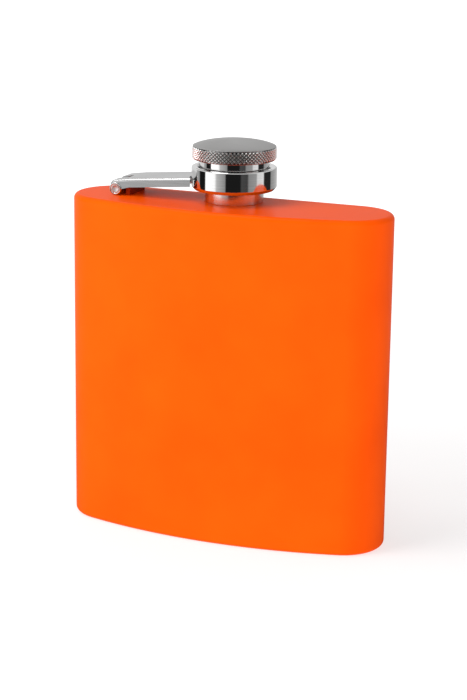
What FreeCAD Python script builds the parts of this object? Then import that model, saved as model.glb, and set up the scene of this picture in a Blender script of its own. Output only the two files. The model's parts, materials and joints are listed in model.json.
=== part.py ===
"""Hip flask with a captive screw cap on a hinged lid arm.

Frame: millimetres, +Z up. The origin is on the table under the middle of the body.
X runs along the width, -Y is the bowed front and +Y is the flat back.
The lid is modelled down, with the cap unscrewed by cap_lift and still on the neck.
"""
import FreeCAD, Part
import math
import os
import Sketcher

DIMENSIONS = [
    # body
    ("body_width", 95.0),
    ("body_depth", 29.5),
    ("body_height", 95.7),
    ("end_setback", 2.45),
    ("edge_radius", 1.5),
    ("rim_land", 0.03),
    ("wall_sheet", 0.7),
    ("cap_set_forward", 10.0),
    # neck, whose radii all follow from the thread
    ("thread_radius", 7.4),
    ("thread_over_pilot", 0.8),
    ("foot_step", 0.95),
    ("foot_height", 3.4),
    ("thread_relief", 0.5),
    ("thread_short_of_lift", 0.15),
    ("neck_wall", 1.0),
    ("neck_below_collar", 2.3),
    ("spigot_drop", 0.9),
    ("small_chamfer", 0.15),
    # collar
    ("collar_wall", 1.05),
    ("lip_gap", 0.4),
    ("mouth_bevel", 0.45),
    ("collar_lip", 1.0),
    ("collar_clear_foot", 0.1),
    ("collar_height", 6.4),
    ("collar_bevel", 0.75),
    ("collar_bevel_height", 0.9),
    # cap
    ("cap_lift", 1.9),
    ("closed_gap", 0.15),
    ("skirt_wall", 2.2),
    ("skirt_above_thread", 0.1),
    ("seal_gap", 0.05),
    ("seal_sheet", 1.2),
    ("spigot_inset", 1.0),
    ("spigot_height", 1.6),
    ("head_inside_collar", 0.15),
    ("knurl_height", 3.8),
    ("head_bevel", 0.35),
    ("dome_height", 1.6),
    # snap ring that keeps the cap in the collar
    ("ring_room", 1.25),
    ("ring_groove", 0.5),
    ("ring_height", 1.1),
    ("ring_side_gap", 0.2),
    # hinge on the top plate
    ("hinge_outset", 21.7),
    ("hinge_pin_radius", 1.1),
    ("hinge_pin_proud", 0.35),
    ("knuckle_wall", 0.75),
    ("hinge_pin_head", 0.7),
    ("knuckle_width", 2.8),
    ("knuckle_side_gap", 0.3),
    ("knuckle_forward", 1.0),
    ("foot_strip_sheet", 0.9),
    ("bar_start", 2.6),
    ("bar_length", 1.3),
    ("bar_height", 2.6),
    ("bar_side_gap", 0.4),
    ("bar_round", 0.45),
    # lid arm, whose bends are counted from the hinge pin
    ("arm_width", 13.0),
    ("arm_sheet", 0.9),
    ("arm_end_gap", 0.5),
    ("arm_rise", 3.15),
    ("arm_edge_radius", 0.85),
    ("arm_end_overhang", 2.05),
    ("flange_height", 2.5),
    ("web_over_pivot", 1.8),
    ("ear_wall", 0.7),
    ("heel_rise", 2.3),
    ("heel_radius", 1.6),
    ("arm_start_reach", 4.2),
    ("slot_overlap", 0.3),
    ("channel_reach", 2.3),
    ("channel_rise", 1.9),
    ("channel_overrun", 1.0),
    # pivot between the arm and the collar
    ("pivot_outset", 0.6),
    ("pivot_rise", 1.35),
    ("pivot_pin_radius", 0.4),
    ("pivot_cover", 0.35),
    ("lug_width", 4.8),
    ("lug_wall", 0.25),
    # fits
    ("thread_clearance", 0.1),
    ("pin_clearance", 0.05),
]

# Radii about the neck's axis, each written once.
PILOT_RADIUS = "(Dims.thread_radius - Dims.thread_over_pilot)"
NECK_BORE = "(" + PILOT_RADIUS + " - Dims.neck_wall)"
FOOT_RADIUS = "(Dims.thread_radius + Dims.foot_step)"
SKIRT_BORE = "(Dims.thread_radius + Dims.thread_clearance)"
SKIRT_RADIUS = "(" + SKIRT_BORE + " + Dims.skirt_wall)"
GROOVE_RADIUS = "(" + SKIRT_RADIUS + " - Dims.ring_groove)"
SPIGOT_RADIUS = "(" + SKIRT_BORE + " - Dims.spigot_inset)"
LIP_BORE = "(" + SKIRT_RADIUS + " + Dims.lip_gap)"
COLLAR_BORE = "(" + SKIRT_RADIUS + " + Dims.ring_room)"
COLLAR_RADIUS = "(" + COLLAR_BORE + " + Dims.collar_wall)"
HEAD_RADIUS = "(" + COLLAR_RADIUS + " - Dims.head_inside_collar)"

# Heights above the top plate, each written once.
THREAD_LOW = "(Dims.foot_height + Dims.thread_relief)"
THREAD_HIGH = "(" + THREAD_LOW + " + Dims.cap_lift - Dims.thread_short_of_lift)"
COLLAR_LOW = "(Dims.foot_height + Dims.collar_clear_foot)"
COLLAR_HIGH = "(" + COLLAR_LOW + " + Dims.collar_height)"
NECK_TOP = "(" + COLLAR_HIGH + " - Dims.neck_below_collar)"
HEAD_LOW = "(" + COLLAR_HIGH + " + Dims.cap_lift + Dims.closed_gap)"
SKIRT_LOW = "(" + THREAD_HIGH + " + Dims.skirt_above_thread)"
SEAL_LOW = "(" + NECK_TOP + " + Dims.cap_lift + Dims.seal_gap)"
SEAL_HIGH = "(" + SEAL_LOW + " + Dims.seal_sheet)"
RING_HIGH = "(" + COLLAR_HIGH + " - Dims.collar_lip - Dims.ring_side_gap)"
RING_LOW = "(" + RING_HIGH + " - Dims.ring_height)"

# The cap's place on the body, the hinge pin, the pivot pin and the arm between them.
CAP_Y = "Dims.body_depth / 2 - Dims.cap_set_forward"
END_RADIUS = "(Dims.body_depth / 2 - Dims.end_setback)"
HINGE_X = "(-(" + COLLAR_RADIUS + " + Dims.hinge_outset))"
KNUCKLE_RADIUS = "(Dims.hinge_pin_radius + Dims.knuckle_wall)"
HINGE_Z = KNUCKLE_RADIUS
EAR_RADIUS = "(Dims.hinge_pin_radius + Dims.ear_wall)"
PIVOT_X = "(-(" + COLLAR_RADIUS + " + Dims.pivot_outset))"
PIVOT_Z = "(" + COLLAR_LOW + " + Dims.pivot_rise)"
LUG_RADIUS = "(Dims.pivot_pin_radius + Dims.lug_wall)"
ARM_START_X = "(" + HINGE_X + " + Dims.arm_start_reach)"
ARM_START_Z = "(" + HINGE_Z + " + Dims.arm_rise)"
ARM_END_X = "(" + PIVOT_X + " + Dims.arm_end_overhang)"
ARM_END_Z = "(" + PIVOT_Z + " + Dims.web_over_pivot)"

doc = FreeCAD.newDocument("HipFlask")
sheet = doc.addObject("Spreadsheet::Sheet", "Dims")
for row, (alias, value) in enumerate(DIMENSIONS, start=1):
    sheet.set("A%d" % row, alias.replace("_", " "))
    sheet.set("B%d" % row, str(value))
    sheet.setAlias("B%d" % row, alias)
doc.recompute()

bodies = []


def number(expression):
    """Value of an expression in the sheet's dimensions."""
    result = sheet.evalExpression(expression)
    return float(getattr(result, "Value", result))


def new_body(label, on_plate):
    """An empty body; one that stands on the plate has its origin where the neck's axis meets it."""
    body = doc.addObject("PartDesign::Body", label)
    body.Label = label
    if on_plate:
        body.setExpression(".Placement.Base.y", CAP_Y)
        body.setExpression(".Placement.Base.z", "Dims.body_height")
    bodies.append(body)
    return body


def new_sketch(body, name, plane, height=None):
    sketch = body.newObject("Sketcher::SketchObject", name)
    support = [item for item in body.Origin.OriginFeatures if item.Role == plane][0]
    sketch.AttachmentSupport = [(support, "")]
    sketch.MapMode = "FlatFace"
    if height is not None:
        sketch.setExpression(".AttachmentOffset.Base.z", height)
    return sketch


def fix_point(sketch, geometry, point, place):
    """Tie one sketch point to a pair of expressions."""
    position = sketch.getPoint(geometry, point)
    for kind, expression, axis, value in (("DistanceX", place[0], -2, position.x),
                                          ("DistanceY", place[1], -1, position.y)):
        if abs(value) < 1e-9:
            sketch.addConstraint(Sketcher.Constraint("PointOnObject", geometry, point, axis))
        else:
            index = sketch.addConstraint(Sketcher.Constraint(kind, -1, 1, geometry, point, value))
            sketch.setExpression("Constraints[%d]" % index, expression)


def polygon(sketch, places):
    """Closed outline of straight lines through corners given as pairs of expressions."""
    corners = [FreeCAD.Vector(number(x), number(y), 0) for x, y in places]
    first = sketch.GeometryCount
    count = len(corners)
    for index in range(count):
        line = Part.LineSegment(corners[index], corners[(index + 1) % count])
        sketch.addGeometry(line, False)
    for index in range(count):
        following = first + (index + 1) % count
        sketch.addConstraint(Sketcher.Constraint("Coincident", first + index, 2, following, 1))
    for index, place in enumerate(places):
        fix_point(sketch, first + index, 1, place)


def circle(sketch, place, radius):
    """Circle about a pair of expressions, with an expression for its radius."""
    centre = FreeCAD.Vector(number(place[0]), number(place[1]), 0)
    size = number(radius)
    index = sketch.addGeometry(Part.Circle(centre, FreeCAD.Vector(0, 0, 1), size), False)
    fix_point(sketch, index, 3, place)
    bound = sketch.addConstraint(Sketcher.Constraint("Radius", index, size))
    sketch.setExpression("Constraints[%d]" % bound, radius)


def rectangle(sketch, low, high):
    polygon(sketch, [low, (high[0], low[1]), high, (low[0], high[1])])


def plan_outline(sketch, inset):
    """Plan of the body, drawn inwards by inset: flat back, bowed front, round ends tangent to both.

    The bow's radius follows from the width, the depth and how far the end circles are set back.
    """
    gap = number(inset)
    half_width = number("Dims.body_width / 2") - gap
    half_depth = number("Dims.body_depth / 2") - gap
    end = number(END_RADIUS) - gap
    reach = half_width - end
    bow = half_depth + reach ** 2 / (4 * (half_depth - end))
    lean = math.asin(reach / (bow - end))
    axis = FreeCAD.Vector(0, 0, 1)
    front_circle = Part.Circle(FreeCAD.Vector(0, bow - half_depth, 0), axis, bow)
    right_circle = Part.Circle(FreeCAD.Vector(reach, half_depth - end, 0), axis, end)
    left_circle = Part.Circle(FreeCAD.Vector(-reach, half_depth - end, 0), axis, end)
    down = -math.pi / 2
    front = sketch.addGeometry(Part.ArcOfCircle(front_circle, down - lean, down + lean), False)
    right = sketch.addGeometry(Part.ArcOfCircle(right_circle, down + lean, math.pi / 2), False)
    back = sketch.addGeometry(Part.LineSegment(FreeCAD.Vector(reach, half_depth, 0),
                                               FreeCAD.Vector(-reach, half_depth, 0)), False)
    left = sketch.addGeometry(Part.ArcOfCircle(left_circle, math.pi / 2, 2 * math.pi + down - lean), False)
    for one, point_one, other, point_other in ((front, 2, right, 1), (right, 2, back, 1),
                                               (back, 2, left, 1), (left, 2, front, 1)):
        sketch.addConstraint(Sketcher.Constraint("Tangent", one, point_one, other, point_other))
    fix_point(sketch, right, 3, ("Dims.body_width / 2 - " + END_RADIUS, "Dims.end_setback"))
    fix_point(sketch, left, 3, (END_RADIUS + " - Dims.body_width / 2", "Dims.end_setback"))
    bound = sketch.addConstraint(Sketcher.Constraint("Radius", right, end))
    sketch.setExpression("Constraints[%d]" % bound, END_RADIUS + " - " + inset)
    sketch.addConstraint(Sketcher.Constraint("Equal", right, left))
    fix_bow = sketch.addConstraint(Sketcher.Constraint("Radius", front, bow))
    reach_text = "(Dims.body_width / 2 - " + END_RADIUS + ")"
    sketch.setExpression("Constraints[%d]" % fix_bow,
                         "Dims.body_depth / 2 - %s + %s^2 / (4 * Dims.end_setback)" % (inset, reach_text))


def pad(body, sketch, length, midplane=False, reverse=False):
    feature = body.newObject("PartDesign::Pad", sketch.Name + "Pad")
    feature.Profile = sketch
    feature.Midplane = midplane
    feature.Reversed = reverse
    feature.setExpression("Length", length)
    doc.recompute()
    return feature


def pocket(body, sketch, length, midplane=False, reverse=False):
    """Cut that has to remove material, or the script stops."""
    before = body.Shape.Volume
    feature = body.newObject("PartDesign::Pocket", sketch.Name + "Pocket")
    feature.Profile = sketch
    feature.Midplane = midplane
    feature.Reversed = reverse
    feature.setExpression("Length", length)
    doc.recompute()
    if body.Shape.Volume > before - 1e-6:
        raise RuntimeError(feature.Name + " cuts nothing")
    return feature


def revolve(body, sketch):
    feature = body.newObject("PartDesign::Revolution", sketch.Name + "Turned")
    feature.Profile = sketch
    feature.ReferenceAxis = (sketch, ["V_Axis"])
    feature.Angle = 360
    doc.recompute()
    return feature


def fillet(body, radius, wanted):
    """Round the edges that the test function picks."""
    base = body.Tip
    names = ["Edge%d" % (index + 1) for index, edge in enumerate(base.Shape.Edges) if wanted(edge)]
    feature = body.newObject("PartDesign::Fillet", body.Name + "Fillet")
    feature.Base = (base, names)
    feature.setExpression("Radius", radius)
    doc.recompute()
    return feature


def edge_at_height(height):
    return lambda edge: all(abs(vertex.Point.z - height) < 1e-6 for vertex in edge.Vertexes)


def make_body_shell():
    """Bent sheet that makes the front, the back and the round ends."""
    body = new_body("body_shell", False)
    outline = new_sketch(body, "ShellOutline", "XY_Plane", "Dims.edge_radius")
    plan_outline(outline, "0")
    plan_outline(outline, "Dims.wall_sheet")
    pad(body, outline, "Dims.body_height - 2 * Dims.edge_radius")


def make_end_plate(label, low, high, round_top, with_neck_hole):
    """Pressed end plate: its turned rim meets the shell edge to edge."""
    body = new_body(label, False)
    outline = new_sketch(body, label + "Outline", "XY_Plane", low)
    plan_outline(outline, "0")
    pad(body, outline, "Dims.edge_radius")
    rounded = high if round_top else low
    fillet(body, "Dims.edge_radius - Dims.rim_land", edge_at_height(number(rounded)))
    dish = new_sketch(body, label + "Dish", "XY_Plane", low if round_top else high)
    plan_outline(dish, "Dims.wall_sheet")
    pocket(body, dish, "Dims.edge_radius - Dims.wall_sheet", reverse=round_top)
    if with_neck_hole:
        hole = new_sketch(body, label + "Hole", "XY_Plane", high)
        circle(hole, ("0", CAP_Y), PILOT_RADIUS)
        pocket(body, hole, "2 * Dims.edge_radius")


def make_neck():
    """Turned neck: a foot on the plate, a thread zone, a plain pilot and a spigot through the plate."""
    body = new_body("neck", True)
    profile = new_sketch(body, "NeckProfile", "XZ_Plane")
    spigot_low = "-(Dims.wall_sheet + Dims.spigot_drop)"
    polygon(profile, [
        (NECK_BORE, spigot_low),
        (PILOT_RADIUS, spigot_low),
        (PILOT_RADIUS, "0"),
        (FOOT_RADIUS, "0"),
        (FOOT_RADIUS, "Dims.foot_height - Dims.small_chamfer"),
        (FOOT_RADIUS + " - Dims.small_chamfer", "Dims.foot_height"),
        (PILOT_RADIUS + " + Dims.small_chamfer", "Dims.foot_height"),
        (PILOT_RADIUS + " + Dims.small_chamfer", THREAD_LOW),
        ("Dims.thread_radius", THREAD_LOW + " + Dims.small_chamfer"),
        ("Dims.thread_radius", THREAD_HIGH + " - Dims.small_chamfer"),
        (PILOT_RADIUS, THREAD_HIGH),
        (PILOT_RADIUS, NECK_TOP + " - Dims.small_chamfer"),
        (PILOT_RADIUS + " - Dims.small_chamfer", NECK_TOP),
        (NECK_BORE, NECK_TOP),
    ])
    revolve(body, profile)


def make_collar_ring():
    """Collar round the cap's skirt, with an inner lip and the lug that the lid arm's pin holds."""
    body = new_body("collar_ring", True)
    profile = new_sketch(body, "CollarProfile", "XZ_Plane")
    polygon(profile, [
        (COLLAR_BORE, COLLAR_LOW),
        (COLLAR_RADIUS + " - Dims.collar_bevel", COLLAR_LOW),
        (COLLAR_RADIUS, COLLAR_LOW + " + Dims.collar_bevel_height"),
        (COLLAR_RADIUS, COLLAR_HIGH + " - Dims.small_chamfer"),
        (COLLAR_RADIUS + " - Dims.small_chamfer", COLLAR_HIGH),
        (LIP_BORE + " + Dims.mouth_bevel", COLLAR_HIGH),
        (LIP_BORE, COLLAR_HIGH + " - Dims.mouth_bevel"),
        (LIP_BORE, COLLAR_HIGH + " - Dims.collar_lip"),
        (COLLAR_BORE, COLLAR_HIGH + " - Dims.collar_lip"),
    ])
    revolve(body, profile)
    barrel = new_sketch(body, "LugBarrel", "XZ_Plane")
    circle(barrel, (PIVOT_X, PIVOT_Z), LUG_RADIUS)
    pad(body, barrel, "Dims.lug_width", midplane=True)
    web = new_sketch(body, "LugWeb", "XZ_Plane")
    rectangle(web, (PIVOT_X, PIVOT_Z + " - " + LUG_RADIUS),
              ("-(" + COLLAR_BORE + " + Dims.collar_wall / 2)", PIVOT_Z + " + " + LUG_RADIUS))
    pad(body, web, "Dims.lug_width", midplane=True)
    hole = new_sketch(body, "LugHole", "XZ_Plane")
    circle(hole, (PIVOT_X, PIVOT_Z), "Dims.pivot_pin_radius + Dims.pin_clearance")
    pocket(body, hole, "2 * Dims.lug_width", midplane=True)


def make_snap_ring():
    """Ring in the skirt's groove; the collar's lip stops it, so the cap can't come off the arm."""
    body = new_body("snap_ring", True)
    profile = new_sketch(body, "RingProfile", "XZ_Plane")
    rectangle(profile, (GROOVE_RADIUS + " + Dims.pin_clearance", RING_LOW),
              (COLLAR_BORE + " - Dims.ring_side_gap", RING_HIGH))
    revolve(body, profile)


def make_cap_skirt():
    """Threaded cup of the cap, with the snap ring's groove and a spigot pressed into the head."""
    body = new_body("cap_skirt", True)
    profile = new_sketch(body, "SkirtProfile", "XZ_Plane")
    polygon(profile, [
        ("0", SEAL_HIGH),
        (SKIRT_BORE, SEAL_HIGH),
        (SKIRT_BORE, SKIRT_LOW + " + Dims.small_chamfer"),
        (SKIRT_BORE + " + Dims.small_chamfer", SKIRT_LOW),
        (SKIRT_RADIUS + " - Dims.small_chamfer", SKIRT_LOW),
        (SKIRT_RADIUS, SKIRT_LOW + " + Dims.small_chamfer"),
        (SKIRT_RADIUS, RING_LOW + " - Dims.pin_clearance"),
        (GROOVE_RADIUS, RING_LOW + " - Dims.pin_clearance"),
        (GROOVE_RADIUS, RING_HIGH + " + Dims.pin_clearance"),
        (SKIRT_RADIUS, RING_HIGH + " + Dims.pin_clearance"),
        (SKIRT_RADIUS, HEAD_LOW),
        (SPIGOT_RADIUS, HEAD_LOW),
        (SPIGOT_RADIUS, HEAD_LOW + " + Dims.spigot_height"),
        ("0", HEAD_LOW + " + Dims.spigot_height"),
    ])
    revolve(body, profile)


def make_cap_seal():
    """Soft disc that closes on the neck's rim."""
    body = new_body("cap_seal", True)
    profile = new_sketch(body, "SealProfile", "XZ_Plane")
    rectangle(profile, ("0", SEAL_LOW), (SKIRT_BORE + " - Dims.pin_clearance", SEAL_HIGH))
    revolve(body, profile)


def make_cap_head():
    """Knurled head with a small bevel and a low dome."""
    body = new_body("cap_head", True)
    rim = "(" + HEAD_LOW + " + Dims.knurl_height)"
    profile = new_sketch(body, "HeadProfile", "XZ_Plane")
    polygon(profile, [
        ("0", HEAD_LOW + " + Dims.spigot_height"),
        (SPIGOT_RADIUS, HEAD_LOW + " + Dims.spigot_height"),
        (SPIGOT_RADIUS, HEAD_LOW),
        (HEAD_RADIUS + " - Dims.head_bevel", HEAD_LOW),
        (HEAD_RADIUS, HEAD_LOW + " + Dims.head_bevel"),
        (HEAD_RADIUS, rim + " - Dims.head_bevel"),
        (HEAD_RADIUS + " - Dims.head_bevel", rim),
        ("0", rim),
    ])
    revolve(body, profile)
    make_dome(body, rim)


def make_dome(body, rim):
    """Low spherical dome over the knurled band."""
    dome = new_sketch(body, "DomeProfile", "XZ_Plane")
    base = HEAD_RADIUS + " - Dims.head_bevel"
    base_radius = number(base)
    low = number(rim)
    rise = number("Dims.dome_height")
    ball = (base_radius ** 2 + rise ** 2) / (2 * rise)
    centre = FreeCAD.Vector(0, low + rise - ball, 0)
    lean = math.asin(base_radius / ball)
    sphere = Part.Circle(centre, FreeCAD.Vector(0, 0, 1), ball)
    arc = dome.addGeometry(Part.ArcOfCircle(sphere, math.pi / 2 - lean, math.pi / 2), False)
    down = dome.addGeometry(Part.LineSegment(FreeCAD.Vector(0, low + rise, 0),
                                             FreeCAD.Vector(0, low, 0)), False)
    across = dome.addGeometry(Part.LineSegment(FreeCAD.Vector(0, low, 0),
                                               FreeCAD.Vector(base_radius, low, 0)), False)
    for one, point_one, other, point_other in ((arc, 2, down, 1), (down, 2, across, 1), (across, 2, arc, 1)):
        dome.addConstraint(Sketcher.Constraint("Coincident", one, point_one, other, point_other))
    dome.addConstraint(Sketcher.Constraint("PointOnObject", arc, 3, -2))
    fix_point(dome, down, 1, ("0", rim + " + Dims.dome_height"))
    fix_point(dome, down, 2, ("0", rim))
    fix_point(dome, across, 2, (base, rim))
    revolve(body, dome)


def make_hinge_bracket():
    """Bracket on the top plate: a cross bar inside the channel, and a strip with the pin's knuckle."""
    body = new_body("hinge_bracket", True)
    bar_x = HINGE_X + " + Dims.bar_start"
    bar = new_sketch(body, "BracketBar", "XZ_Plane")
    rectangle(bar, (bar_x, "0"), (bar_x + " + Dims.bar_length", "Dims.bar_height"))
    pad(body, bar, "Dims.arm_width - 2 * Dims.arm_sheet - 2 * Dims.bar_side_gap", midplane=True)
    fillet(body, "Dims.bar_round", edge_at_height(number("Dims.bar_height")))
    foot = new_sketch(body, "BracketFoot", "XZ_Plane", "Dims.knuckle_forward")
    rectangle(foot, (HINGE_X, "0"), (bar_x + " + Dims.bar_length / 2", "Dims.foot_strip_sheet"))
    pad(body, foot, "Dims.knuckle_width", midplane=True)
    knuckle = new_sketch(body, "BracketKnuckle", "XZ_Plane", "Dims.knuckle_forward")
    circle(knuckle, (HINGE_X, HINGE_Z), KNUCKLE_RADIUS)
    pad(body, knuckle, "Dims.knuckle_width", midplane=True)
    hole = new_sketch(body, "BracketHole", "XZ_Plane", "Dims.knuckle_forward")
    circle(hole, (HINGE_X, HINGE_Z), "Dims.hinge_pin_radius")
    pocket(body, hole, "2 * Dims.knuckle_width", midplane=True)


def make_pin(label, x, z, radius, length):
    """Plain pin across the arm."""
    body = new_body(label, True)
    round_section = new_sketch(body, label + "Section", "XZ_Plane")
    circle(round_section, (x, z), radius)
    pad(body, round_section, length, midplane=True)
    return body


def make_hinge_pin():
    """Hinge pin with a thin flared head outside each ear."""
    body = make_pin("hinge_pin", HINGE_X, HINGE_Z, "Dims.hinge_pin_radius",
                    "Dims.arm_width + 2 * Dims.pin_clearance")
    inner = "Dims.arm_width / 2 + Dims.pin_clearance"
    thickness = "Dims.hinge_pin_proud - Dims.pin_clearance"
    for name, offset in (("HeadOne", inner), ("HeadTwo", "-(" + inner + " + " + thickness + ")")):
        head = new_sketch(body, "Pin" + name, "XZ_Plane", offset)
        circle(head, (HINGE_X, HINGE_Z), "Dims.hinge_pin_radius + Dims.hinge_pin_head")
        pad(body, head, thickness)


def arm_line(offset):
    """Height of a line along the arm's straight stretch, as a function of x, offset down from its top."""
    low_x, low_z = number(ARM_START_X), number(ARM_START_Z)
    slope = (number(ARM_END_Z) - low_z) / (number(ARM_END_X) - low_x)
    return lambda x: low_z + slope * (x - low_x) - offset


def make_arm_strap(body):
    """Outside of the arm: the ear round the hinge pin, the strap with its heel, and the rounded edges."""
    ear = new_sketch(body, "ArmEar", "XZ_Plane")
    circle(ear, (HINGE_X, HINGE_Z), EAR_RADIUS)
    pad(body, ear, "Dims.arm_width", midplane=True)
    strap = new_sketch(body, "ArmStrap", "XZ_Plane")
    heel_x = HINGE_X + " - " + EAR_RADIUS
    polygon(strap, [
        (heel_x, HINGE_Z),
        (heel_x, HINGE_Z + " + Dims.heel_rise"),
        (ARM_START_X, ARM_START_Z),
        (ARM_END_X, ARM_END_Z),
        (ARM_END_X, ARM_END_Z + " - Dims.flange_height"),
        (ARM_START_X, ARM_START_Z + " - Dims.flange_height"),
        (HINGE_X + " + " + EAR_RADIUS, HINGE_Z),
    ])
    pad(body, strap, "Dims.arm_width", midplane=True)

    side = number("Dims.arm_width / 2")
    near = 1e-3
    corner = FreeCAD.Vector(number(heel_x), 0, number(HINGE_Z + " + Dims.heel_rise"))
    fillet(body, "Dims.heel_radius", lambda edge: (edge.CenterOfMass - corner).Length < near)
    middle = arm_line(number("Dims.flange_height / 2"))
    arm_start, arm_end = number(HINGE_X), number(ARM_END_X)
    fillet(body, "Dims.arm_edge_radius",
           lambda edge: all(abs(abs(vertex.Point.y) - side) < near for vertex in edge.Vertexes)
           and arm_start < edge.CenterOfMass.x < arm_end - near
           and abs(edge.CenterOfMass.y) > side - near
           and edge.CenterOfMass.z > middle(edge.CenterOfMass.x))


def make_arm_openings(body):
    """Channel under the arm, the slot for the knuckle, and the room for the collar."""
    channel = new_sketch(body, "ArmChannel", "XZ_Plane")
    slope = "((" + ARM_END_Z + " - " + ARM_START_Z + ") / (" + ARM_END_X + " - " + ARM_START_X + "))"
    polygon(channel, [
        (HINGE_X + " + Dims.channel_reach", "0"),
        (HINGE_X + " + Dims.channel_reach", HINGE_Z + " + Dims.channel_rise"),
        (ARM_START_X, ARM_START_Z + " - Dims.arm_sheet"),
        (ARM_END_X + " + Dims.channel_overrun",
         ARM_END_Z + " - Dims.arm_sheet + Dims.channel_overrun * " + slope),
        (ARM_END_X + " + Dims.channel_overrun", "0"),
    ])
    pocket(body, channel, "Dims.arm_width - 2 * Dims.arm_sheet", midplane=True)

    through = "2 * " + ARM_END_Z
    slot = new_sketch(body, "ArmSlot", "XY_Plane")
    half_slot = "(Dims.knuckle_width / 2 + Dims.knuckle_side_gap)"
    rectangle(slot, (HINGE_X + " - 2 * " + EAR_RADIUS, "-Dims.knuckle_forward - " + half_slot),
              (HINGE_X + " + Dims.channel_reach + Dims.slot_overlap",
               half_slot + " - Dims.knuckle_forward"))
    pocket(body, slot, through, reverse=True)
    hollow = new_sketch(body, "ArmCollarGap", "XY_Plane")
    circle(hollow, ("0", "0"), COLLAR_RADIUS + " + Dims.arm_end_gap")
    pocket(body, hollow, through, reverse=True)


def make_lid_arm():
    """Pressed channel with a fork round the hinge pin and open at its far end for the collar's lug."""
    body = new_body("lid_arm", True)
    make_arm_strap(body)
    make_arm_openings(body)
    hinge_hole = new_sketch(body, "ArmHingeHole", "XZ_Plane")
    circle(hinge_hole, (HINGE_X, HINGE_Z), "Dims.hinge_pin_radius + Dims.pin_clearance")
    pocket(body, hinge_hole, "2 * Dims.arm_width", midplane=True)
    pivot_hole = new_sketch(body, "ArmPivotHole", "XZ_Plane")
    circle(pivot_hole, (PIVOT_X, PIVOT_Z), "Dims.pivot_pin_radius")
    pocket(body, pivot_hole, "Dims.arm_width - 2 * Dims.pivot_cover", midplane=True)


make_body_shell()
make_end_plate("top_plate", "Dims.body_height - Dims.edge_radius", "Dims.body_height", True, True)
make_end_plate("bottom_plate", "0", "Dims.edge_radius", False, False)
make_neck()
make_hinge_bracket()
make_hinge_pin()
make_lid_arm()
make_pin("pivot_pin", PIVOT_X, PIVOT_Z, "Dims.pivot_pin_radius", "Dims.arm_width - 2 * Dims.pivot_cover")
make_collar_ring()
make_snap_ring()
make_cap_skirt()
make_cap_seal()
make_cap_head()

doc.recompute()
for item in doc.Objects:
    if "Invalid" in item.State or "Error" in item.State:
        raise RuntimeError("failed: %s %s" % (item.Name, item.State))
for body in bodies:
    if body.Shape.isNull() or not body.Shape.isValid():
        raise RuntimeError("bad shape: " + body.Label)

os.makedirs("parts", exist_ok=True)
for body in bodies:
    body.Shape.exportStep("parts/%s.step" % body.Label)
    box = body.Shape.BoundBox
    print("%-14s solids %d volume %9.1f x %.2f %.2f y %.2f %.2f z %.2f %.2f" % (
        body.Label, len(body.Shape.Solids), body.Shape.Volume,
        box.XMin, box.XMax, box.YMin, box.YMax, box.ZMin, box.ZMax))
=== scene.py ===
"""Looks of the hip flask: satin orange body, polished neck and collar, knurled cap, hinged lid arm."""
import json
import math

import bmesh
import bpy
from mathutils import Matrix, Vector


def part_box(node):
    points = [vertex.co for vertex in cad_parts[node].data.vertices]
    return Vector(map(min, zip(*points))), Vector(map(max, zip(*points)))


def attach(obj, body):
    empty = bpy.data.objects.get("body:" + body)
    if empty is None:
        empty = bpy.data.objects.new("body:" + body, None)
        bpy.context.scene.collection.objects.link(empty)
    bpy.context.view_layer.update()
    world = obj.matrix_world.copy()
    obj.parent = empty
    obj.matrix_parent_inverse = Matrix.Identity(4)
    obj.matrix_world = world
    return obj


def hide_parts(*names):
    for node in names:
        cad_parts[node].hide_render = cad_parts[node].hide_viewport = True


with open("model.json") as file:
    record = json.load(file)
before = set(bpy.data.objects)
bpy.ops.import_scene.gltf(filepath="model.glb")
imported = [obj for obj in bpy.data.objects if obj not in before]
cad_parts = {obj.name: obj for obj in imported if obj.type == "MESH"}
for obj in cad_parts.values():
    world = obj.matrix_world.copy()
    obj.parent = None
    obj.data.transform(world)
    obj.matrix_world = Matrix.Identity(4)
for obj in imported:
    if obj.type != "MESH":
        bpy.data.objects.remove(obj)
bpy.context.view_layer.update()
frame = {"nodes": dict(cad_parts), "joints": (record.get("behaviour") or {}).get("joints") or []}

MM = 0.001
TURN = 2 * math.pi

# Places that the frame gives, in metres.
JOINTS = {joint["name"]: joint for joint in frame["joints"]}
AXIS_Y = JOINTS["cap_turn"]["pos_m"][1]
PLATE_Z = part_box("top_plate")[1].z
HINGE = Vector(JOINTS["lid_arm_hinge"]["pos_m"])
PIVOT = Vector(JOINTS["collar_pivot"]["pos_m"])

# Body, in millimetres.
BODY_WIDTH = 95.0
BODY_DEPTH = 29.5
END_RADIUS = 12.3
EDGE_RADIUS = 1.5
SHEET = 0.7
PLATE_HOLE = 6.6

# Thread, in millimetres; heights are counted from the top plate.
THREAD_LEAD = 1.0
THREAD_CREST = 7.4
THREAD_DEPTH = 0.5
THREAD_LOW = 3.9
THREAD_HIGH = 5.65

# Knurl of the cap's head.
KNURL_TEETH = 66
KNURL_ROWS = 6
KNURL_DEPTH = 0.36
KNURL_FLAT = 0.34
KNURL_GAP = 0.12
BAND_HEIGHT = 3.8

# Bores, grooves and pins that the frame doesn't give, in millimetres.
NECK_BORE = 5.6
FOOT_HEIGHT = 3.4
COLLAR_RADIUS = 12.0
COLLAR_BORE = 10.1
COLLAR_GROOVE = 10.95
COLLAR_LIP = 1.0
SNAP_RING_BORE = 9.25
SPIGOT_RADIUS = 6.5
SPIGOT_HEIGHT = 1.6
PIN_RADIUS = 1.1
LUG_RADIUS = 0.65
LUG_EYE = 0.45
LUG_HALF_WIDTH = 2.4


def height(node, corner):
    """Height of a node's lowest (0) or highest (1) point above the top plate, in millimetres."""
    return (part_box(node)[corner].z - PLATE_Z) / MM


# ---------------------------------------------------------------- meshes

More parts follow.
